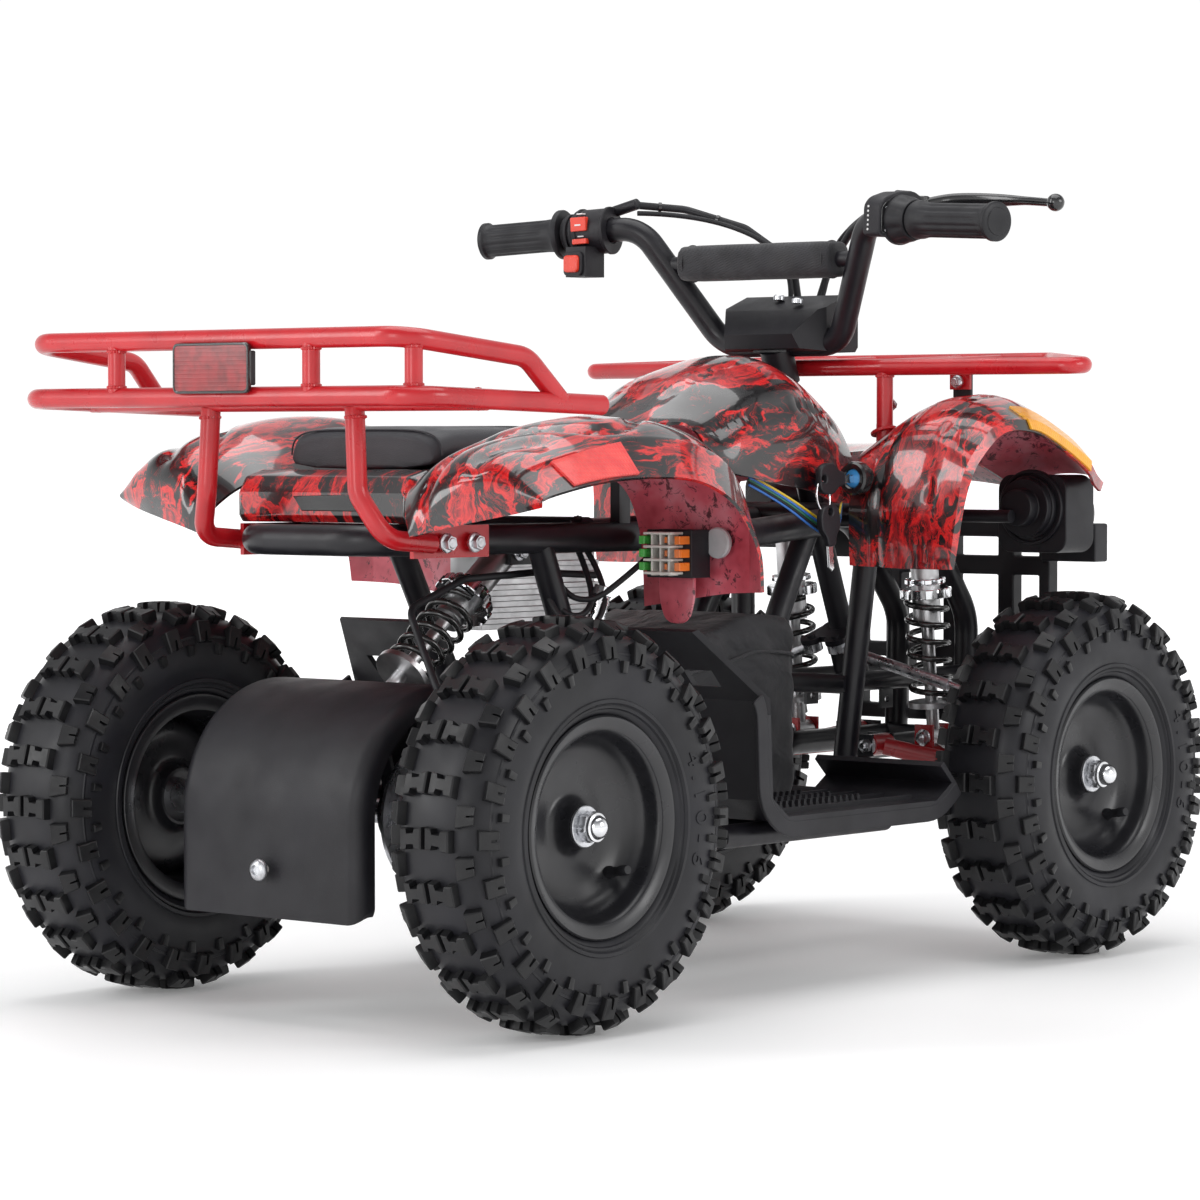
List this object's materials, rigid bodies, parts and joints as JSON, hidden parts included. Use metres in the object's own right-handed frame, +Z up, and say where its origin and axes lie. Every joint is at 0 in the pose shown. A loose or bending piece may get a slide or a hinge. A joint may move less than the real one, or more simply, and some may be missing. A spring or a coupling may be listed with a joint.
{
  "type": "quad bike",
  "caption": "Child's electric mini quad bike with knobby tyres, red tube racks, flame-pattern fenders, padded seat and handlebar steering.",
  "frame": {"origin": "on the floor, midway between the axles on the centre plane", "axes": "+X to the front, +Y to the left, +Z up"},
  "size_m": [1.041, 0.595, 0.6871],
  "materials": {
    "frame_black": "satin",
    "arm_red": "gloss",
    "rack_red": "gloss",
    "rim_black": "satin",
    "zinc": "satin",
    "chrome": "polished",
    "chain_steel": "satin",
    "cast_alloy": "satin",
    "tyre": "matte",
    "flame_red": "gloss",
    "plastic_black": "matte",
    "rubber_black": "matte",
    "seat_vinyl": "satin",
    "bag_fabric": "matte",
    "pad_fabric": "matte",
    "lens_clear": "gloss",
    "reflector_red": "gloss"
  },
  "bodies": {
    "chassis": {"frame": "frame_black", "frame_floor": "frame_black", "frame_uprights": "frame_black", "frame_nose": "frame_black", "frame_cross": "frame_black", "swingarm": "frame_black", "rear_shock": "chrome", "shock_springs": "frame_black", "axle_guard": "frame_black", "motor": "cast_alloy", "chain": "chain_steel", "controller": "cast_alloy", "battery_bag": "bag_fabric", "footrest_left": "plastic_black", "footrest_right": "plastic_black", "front_arm_left": "arm_red", "front_arm_right": "arm_red", "front_shock_left": "chrome", "front_shock_right": "chrome", "front_bumper": "plastic_black", "headlights": "plastic_black", "headlight_lenses": "lens_clear", "front_fender": "flame_red", "tank_cover": "flame_red", "rear_fender": "flame_red", "seat": "seat_vinyl", "rear_rack": "rack_red", "rack_reflector": "reflector_red", "front_rack": "rack_red", "ignition_lock": "plastic_black", "fuse_block": "plastic_black", "brake_caliper": "zinc", "rear_brake_cable": "rubber_black"},
    "steering": {"steering_stem": "frame_black", "handlebar": "frame_black", "bar_pad": "pad_fabric", "clamp_cover": "plastic_black", "grip_left": "rubber_black", "grip_right": "rubber_black", "switch_cluster": "plastic_black", "throttle_housing": "plastic_black", "brake_lever": "plastic_black", "control_cables": "rubber_black"},
    "knuckle_left": {"knuckle_left": "frame_black"},
    "tie_rod_left": {"tie_rod_left": "zinc"},
    "front_wheel_left": {"front_tyre_left": "tyre", "front_rim_left": "rim_black"},
    "knuckle_right": {"knuckle_right": "frame_black"},
    "tie_rod_right": {"tie_rod_right": "zinc"},
    "front_wheel_right": {"front_tyre_right": "tyre", "front_rim_right": "rim_black"},
    "rear_axle_set": {"rear_axle": "zinc", "sprocket": "chain_steel", "brake_disc": "zinc", "rear_tyre_left": "tyre", "rear_tyre_right": "tyre", "rear_rim_left": "rim_black", "rear_rim_right": "rim_black"}
  },
  "joints": [
    {"name": "steering_column", "type": "hinge", "parent": "chassis", "child": "steering", "pos_m": [0.31, 0, 0.285], "axis": [-0.3636, 0, 0.9315], "range_deg": [-38, 38]},
    {"name": "kingpin_left", "type": "hinge", "parent": "chassis", "child": "knuckle_left", "pos_m": [0.35, 0.176, 0.165], "axis": [0, 0, 1], "range_deg": [-23, 23]},
    {"name": "tie_rod_eye_left", "type": "hinge", "parent": "steering", "child": "tie_rod_left", "pos_m": [0.27932, 0.014, 0.28109], "axis": [-0.3636, 0, 0.9315], "range_deg": [-38.5, 38.5]},
    {"name": "front_spin_left", "type": "hinge", "parent": "knuckle_left", "child": "front_wheel_left", "pos_m": [0.35, 0.229, 0.165], "axis": [0, 1, 0], "continuous": true},
    {"name": "kingpin_right", "type": "hinge", "parent": "chassis", "child": "knuckle_right", "pos_m": [0.35, -0.176, 0.165], "axis": [0, 0, 1], "range_deg": [-23, 23]},
    {"name": "tie_rod_eye_right", "type": "hinge", "parent": "steering", "child": "tie_rod_right", "pos_m": [0.27932, -0.014, 0.28109], "axis": [-0.3636, 0, 0.9315], "range_deg": [-38.5, 38.5]},
    {"name": "front_spin_right", "type": "hinge", "parent": "knuckle_right", "child": "front_wheel_right", "pos_m": [0.35, -0.229, 0.165], "axis": [0, 1, 0], "continuous": true},
    {"name": "rear_spin", "type": "hinge", "parent": "chassis", "child": "rear_axle_set", "pos_m": [-0.35, 0, 0.165], "axis": [0, 1, 0], "continuous": true}
  ],
  "couplings": [
    {"joint": "kingpin_left", "follows": "steering_column", "ratio": 0.6},
    {"joint": "tie_rod_eye_left", "follows": "steering_column", "ratio": -1},
    {"joint": "kingpin_right", "follows": "steering_column", "ratio": 0.6},
    {"joint": "tie_rod_eye_right", "follows": "steering_column", "ratio": -1}
  ]
}
